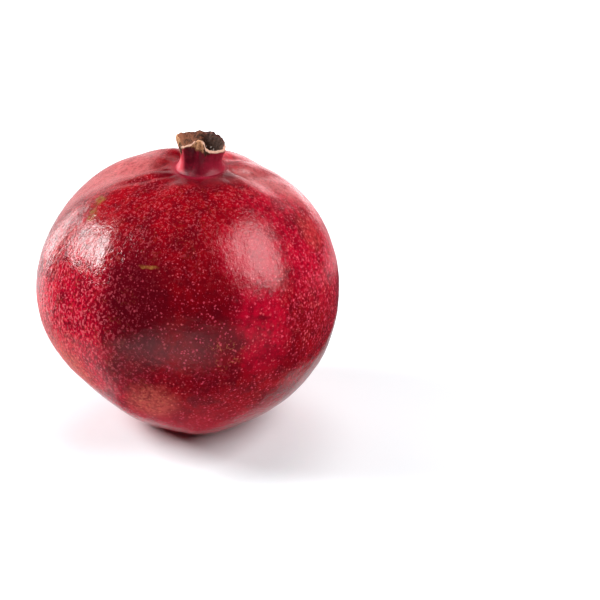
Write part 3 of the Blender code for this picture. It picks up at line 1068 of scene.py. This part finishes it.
threads = skin.fade((skin.cloud(here, 1.7, 1.0) - 0.5).size(), 0.05, 0.010)
threads = threads * skin.fade(skin.cloud(here, 3.5, 1.0), 0.50, 0.62)
net = patch(-75, -3, 6.0).larger(0.6 * patch(-104, -22, 8.0)).larger(0.3 * crowded)
colour = skin.mix(0.6 * threads * net * open_skin, colour, THREAD)
report("scars")

# %% [markdown]
# ## The crown's finishes
# The neck is waxy crimson. Its front carries painted shade in streaks, its left side painted light,
# and the skin in front of its foot painted shade. Torn flesh dries from cream to pink, dead skin goes
# from tan to nearly black, and the cup's lining is a rough reddish brown. Four materials would be
# simpler, but they would meet in hard edges, so each takes its share from what the points stored.

# %% The neck
FOOT_SHADE = 0.75
NECK_PAINTED_SHADE = (0.11, 0.001, 0.010, 1.0)
NECK_CRIMSON = (0.44, 0.010, 0.042, 1.0)
NECK_LIT = (0.74, 0.06, 0.09, 1.0)
FOOT_HEIGHT = CROWN_BASE_Z / MM


def stored(name):
    """What the rind's points stored under this name."""
    return skin.node("ShaderNodeAttribute", {"attribute_name": name}, {}, out="Fac")


grit = skin.cloud(here, 0.55, 3.0, 0.65)
blotch = skin.cloud(here, 1.6, 2.0)
neck = stored("neck")
# Painted shade on the skin in front of the neck's foot.
at_foot = skin.fade(from_crown, 17.0, 11.0) * skin.fade(north, 0.0, -6.0)
colour = skin.mix(FOOT_SHADE * at_foot, colour, MAROON)
colour = skin.mix(0.8 * neck, colour, NECK_CRIMSON)
# Painted shade on the neck's front, broken into streaks.
streaks = skin.fade(blotch + 0.8 * (grit - 0.5), 0.20, 0.60)
colour = skin.mix(stored("neck_shade") * (0.45 + 0.45 * streaks), colour, NECK_PAINTED_SHADE)
# Painted light down the neck's left side, facing the left lamp.
lit_side = neck * skin.fade(east, 0.2, -1.0) * skin.fade(north, 5.0, 2.0)
lit_side = lit_side * skin.fade(height, FOOT_HEIGHT + 0.6, FOOT_HEIGHT + 1.6)
colour = skin.mix(0.7 * lit_side, colour, NECK_LIT)
report("neck")

# %% Dry skin, lining and flesh
TAN_DRY = (0.64, 0.31, 0.15, 1.0)
BROWN_DRY = (0.085, 0.034, 0.018, 1.0)
LINING_RED = (0.40, 0.15, 0.08, 1.0)
LINING_DARK = (0.075, 0.036, 0.025, 1.0)
FLESH_CREAM = (0.86, 0.55, 0.40, 1.0)
FLESH_PINK = (0.80, 0.36, 0.28, 1.0)

dry, lining, flesh = stored("dry"), stored("lining"), stored("flesh")
darkness = stored("darkness") + 1.6 * (grit - 0.5) + 1.0 * (blotch - 0.5)
darkness = skin.fade(darkness, 0.15, 0.75)
colour = skin.mix(dry, colour, skin.mix(darkness, TAN_DRY, BROWN_DRY))
colour = skin.mix(lining, colour, skin.mix(darkness, LINING_RED, LINING_DARK))
pinkness = skin.fade(grit, 0.45, 0.65)
colour = skin.mix(flesh, colour, skin.mix(pinkness, FLESH_CREAM, FLESH_PINK))
skin.feed(skin.shader.inputs["Base Color"], colour)
report("colour")

# %% [markdown]
# ## Relief and shine
# The skin is leathery. Fine wrinkles run from crown to foot, strongest on the left, over shallow
# dents and a pore-sized grain. A Displace modifier could push them out of the mesh, but they are
# far smaller than its faces, so a bump does them, while every larger dent is real.

# %% Wrinkles, dents and grain
BUMP_DISTANCE = 0.00045
WRINKLE_CENTRE = (3.5, 0.0, 0.0)

spoke = skin.vector("SUBTRACT", here, WRINKLE_CENTRE)
spoke = skin.vector("MULTIPLY", spoke, (1.0, 1.0, 0.0))
around = skin.vector("NORMALIZE", spoke, (0.0, 0.0, 0.0))
around = skin.vector("SCALE", around, BODY_RADIUS / MM)
along = skin.vector("MULTIPLY", here, (0.0, 0.0, 0.38))
meridian = skin.drift(skin.vector("ADD", around, along), 3.0, 1.6)
wrinkles = skin.cloud(meridian, 1.5, 3.0, 0.55)
dents = skin.cloud(here, 3.2, 2.0)
grain = skin.cloud(here, 0.5, 2.0, 0.6)

living = 1.0 - lining.larger(dry).larger(flesh)
relief = 0.55 * wrinkles * (0.25 + 0.95 * left) * (1.0 - 0.7 * neck) + 0.20 * grain + 0.4 * dents
relief = relief * (0.35 + 0.65 * living) + (1.0 - living) * (0.9 * grit + 0.6 * blotch)
bump_sockets = {"Strength": 1.0, "Distance": BUMP_DISTANCE, "Height": relief}
skin.feed(skin.shader.inputs["Normal"], skin.node("ShaderNodeBump", {}, bump_sockets))
report("relief")

# %% Shine
WAX_ROUGHNESS = 0.07

near_crown = skin.fade(from_crown, 30.0, 16.0)
neck_foot = neck * skin.fade(height, FOOT_HEIGHT + 2.2, FOOT_HEIGHT + 1.0)
roughness = WAX_ROUGHNESS + 0.03 * mottle + 0.03 * marks + 0.28 * neck.larger(0.5 * near_crown)
roughness = roughness + 0.15 * neck_foot + 0.5 * (1.0 - living)
skin.feed(skin.shader.inputs["Roughness"], roughness)
add_piece("rind_with_crown", rind, skin, "rind")

# %% [markdown]
# ## The dried stamens
# A pomegranate flower holds hundreds of stamens, and they dry into a dark mat with pale grey
# pollen heads on it. Hair would be quick, but hair isn't a solid shape. Here one stamen is
# extruded from a small disc, and bent copies of it fill the cup.

# %% One stamen
STAMEN_SIDES = 5
STAMEN_THICK = 0.11 * MM
STAMEN_SHARES = (0.2, 0.2, 0.2, 0.2, 0.17)


def one_stamen():
    """A straight thread of unit length along Z, closed at both ends. Its sides are in metres."""
    thread = bmesh.new()
    bmesh.ops.create_circle(thread, cap_ends=True, segments=STAMEN_SIDES, radius=STAMEN_THICK)
    foot = list(thread.faces)
    end = foot
    for share in STAMEN_SHARES:
        grown_out = bmesh.ops.extrude_face_region(thread, geom=end)["geom"]
        if end is not foot:
            bmesh.ops.delete(thread, geom=end, context="FACES_ONLY")
        end = [item for item in grown_out if isinstance(item, bmesh.types.BMFace)]
        corners = list({corner for face in end for corner in face.verts})
        bmesh.ops.translate(thread, verts=corners, vec=(0.0, 0.0, share))
    return thread


stamen = one_stamen()
stamen_data = bpy.data.meshes.new("one_stamen")
stamen.to_mesh(stamen_data)
print("one stamen has", len(stamen.faces), "faces")
stamen.free()

# %% How a stamen stands and bends
STAMEN_BOTTOM_Z = RIM_Z - CUP_DEPTH + GAP
STAMEN_REACH = CUP_RADIUS - 0.8 * MM
SHORTEST = 6.2 * MM
TALLEST = 9.6 * MM
chance = random.Random(11)


def bent_stamen(place, height, lean, curl, turn):
    """Returns a function that carries a unit thread to its bent place in the cup."""
    outward = Vector((math.cos(turn), math.sin(turn), 0.0))
    sideways = Vector((-math.sin(turn), math.cos(turn), 0.0))

    def carried(co):
        t = co.z
        across = Vector((co.x, co.y, 0.0)) * (1.15 - 0.4 * t)
        sweep = outward * lean * t * t + sideways * curl * math.sin(2.6 * t)
        return place + across + sweep + Vector((0.0, 0.0, height * t * (1.0 - 0.18 * t * t)))

    return carried


def chance_stamen(cup_centre):
    """Draws one stamen's place and bend. Gives back its turn too, for its head."""
    turn = chance.uniform(0.0, 2.0 * math.pi)
    out = STAMEN_REACH * math.sqrt(chance.uniform(0.02, 0.85))
    place = cup_centre + Vector((out * math.cos(turn), out * math.sin(turn), 0.0))
    height = chance.uniform(SHORTEST, TALLEST)
    lean = chance.uniform(-0.55, 0.2) * out + chance.uniform(-0.7, 0.4) * MM
    return bent_stamen(place, height, lean, chance.uniform(-1.3, 1.3) * MM, turn), turn


# %% A cup full of them
STAMEN_COUNT = 170
HEAD_RADII = (0.20, 0.16, 0.36)


def add_head(mesh, place, turn, size):
    """A pollen head: a small ball drawn out to an oval."""
    pose = Matrix.Translation(place) @ Matrix.Rotation(turn * 3.0, 4, "Y")
    pose = pose @ Matrix.Diagonal((*[size * radius for radius in HEAD_RADII], 1.0))
    bmesh.ops.create_icosphere(mesh, subdivisions=1, radius=MM, matrix=pose)


def add_stamens(mesh):
    """Fills the mesh with stamens that stand on the cup's floor."""
    cup_centre = off_centre(Vector((0.0, 0.0, STAMEN_BOTTOM_Z)), CUP_RADIUS, CROWN_BASE_Z)
    for _ in range(STAMEN_COUNT):
        carried, turn = chance_stamen(cup_centre)
        before = len(mesh.verts)
        mesh.from_mesh(stamen_data)
        mesh.verts.ensure_lookup_table()
        for vertex in mesh.verts[before:]:
            vertex.co = carried(vertex.co)
        add_head(mesh, carried(Vector((0.0, 0.0, 1.0))), turn, chance.uniform(0.8, 1.25))


stamens = bmesh.new()
add_stamens(stamens)
bmesh.ops.recalc_face_normals(stamens, faces=stamens.faces)
print(STAMEN_COUNT, "stamens,", round(stamens.calc_volume() / MM**3, 1), "mm3")

# %% Dry threads with pale heads
THREAD_DARK = (0.045, 0.022, 0.014, 1.0)
THREAD_BROWN = (0.13, 0.07, 0.045, 1.0)
HEAD_GREY = (0.55, 0.49, 0.46, 1.0)

mat = material_finish("dry_stamen", Roughness=0.85, Specular_IOR_Level=0.3)
tips = mat.fade(mat.parts(mat.here)[2], 91.0, 93.0)
speckle = mat.fade(mat.cloud(mat.here, 0.8, 2.0), 0.45, 0.62)
mat_colour = mat.mix(speckle, THREAD_DARK, THREAD_BROWN)
mat_colour = mat.mix(0.8 * tips * speckle, mat_colour, HEAD_GREY)
mat.feed(mat.shader.inputs["Base Color"], mat_colour)
add_piece("dried_stamen_mat", stamens, mat, "dried_stamens")

# %% [markdown]
# ## The stem stub
# The stalk was clipped flush with the fruit. Its end shows pale wood with rings and cracks, inside
# thin grey bark. It sits in the hollow that the fruit rests over.
# A plain cylinder with a wood picture would do at a distance. Turned from an outline, it gets real
# growth rings on its end and real ribs down its bark.

# %% The stem's outline
STEM_EDGE = 0.1 * STEM_RADIUS
GROWTH_RINGS = 12
RING_HIGH = 0.06 * MM
BARK_ROWS = 12
BARK_START = 0.35
BARK_STEP = 0.45


def stem_outline():
    """(r, z) from the hidden top down the bark to the clipped end, with its growth rings."""
    end_radius = STEM_RADIUS - STEM_EDGE
    rings = [(end_radius, STEM_BOTTOM_Z)]
    for i in range(1, GROWTH_RINGS):
        share = 1.0 - i / GROWTH_RINGS
        rings.append((end_radius * share, STEM_BOTTOM_Z + RING_HIGH * (i % 2)))
    bark = [(STEM_RADIUS, STEM_BOTTOM_Z + (BARK_START + BARK_STEP * i) * MM) for i in range(BARK_ROWS)]
    return [
        (0.0, STEM_TOP_Z),
        (end_radius, STEM_TOP_Z),
        *reversed(bark),
        *rings,
        (0.0, STEM_BOTTOM_Z + 0.05 * MM),
    ]


print("stem outline", len(stem_outline()), "points")

# %% Spin the stem and rib its bark
STEM_STEPS = 48
BARK_INSET = 0.08 * MM
RIB_DEPTH = 0.07 * MM
RIB_LENGTH = 3.0 * MM

stem = spun([Vector(point) for point in stem_outline()], STEM_STEPS)
for vertex in stem.verts:
    radius = math.hypot(vertex.co.x, vertex.co.y)
    bearing = math.degrees(math.atan2(vertex.co.y, vertex.co.x))
    ribs = RIB_DEPTH * ragged(bearing, 7.0, vertex.co.z / RIB_LENGTH)
    ribs *= smooth(0.6, 1.0, radius / STEM_RADIUS)
    inwards = 1.0 - (BARK_INSET + abs(ribs)) / STEM_RADIUS
    vertex.co.x *= inwards
    vertex.co.y *= inwards
    vertex.co = off_centre(vertex.co, STEM_RADIUS, 0.0)
print("stem faces", len(stem.faces))

# %% Wood and bark
WOOD_DARK = (0.34, 0.22, 0.12, 1.0)
WOOD_PALE = (0.52, 0.38, 0.23, 1.0)
BARK_GREY = (0.14, 0.09, 0.06, 1.0)
CRACK_BROWN = (0.10, 0.06, 0.035, 1.0)

wood = material_finish("stem_wood", Roughness=0.8, Specular_IOR_Level=0.3)
from_axis = wood.vector("SUBTRACT", wood.here, (FOOT_OFFSET_X / MM, 0.0, 0.0))
from_axis = wood.vector("MULTIPLY", from_axis, (1.0, 1.0, 0.0))
from_axis = wood.vector("LENGTH", from_axis, (0.0, 0.0, 0.0), out="Value")
ring_phase = from_axis * 11.0 + 3.0 * wood.cloud(wood.here, 1.5)
ring_wave = wood.node("ShaderNodeMath", {"operation": "SINE"}, {0: ring_phase})
wood_colour = wood.mix(wood.fade(ring_wave, -0.6, 0.9), WOOD_DARK, WOOD_PALE)
wood_colour = wood.mix(wood.fade(from_axis, 2.6, 2.9), wood_colour, BARK_GREY)
cracks = wood.fade(wood.cloud(wood.here, 0.5, 2.0), 0.5, 0.7)
wood_colour = wood.mix(0.6 * cracks, wood_colour, CRACK_BROWN)
wood.feed(wood.shader.inputs["Base Color"], wood_colour)
bump_sockets = {"Strength": 0.8, "Distance": 0.0002, "Height": wood.cloud(wood.here, 0.35, 3.0)}
wood.feed(wood.shader.inputs["Normal"], wood.node("ShaderNodeBump", {}, bump_sockets))
add_piece("clipped_stem", stem, wood, "stem_stub")
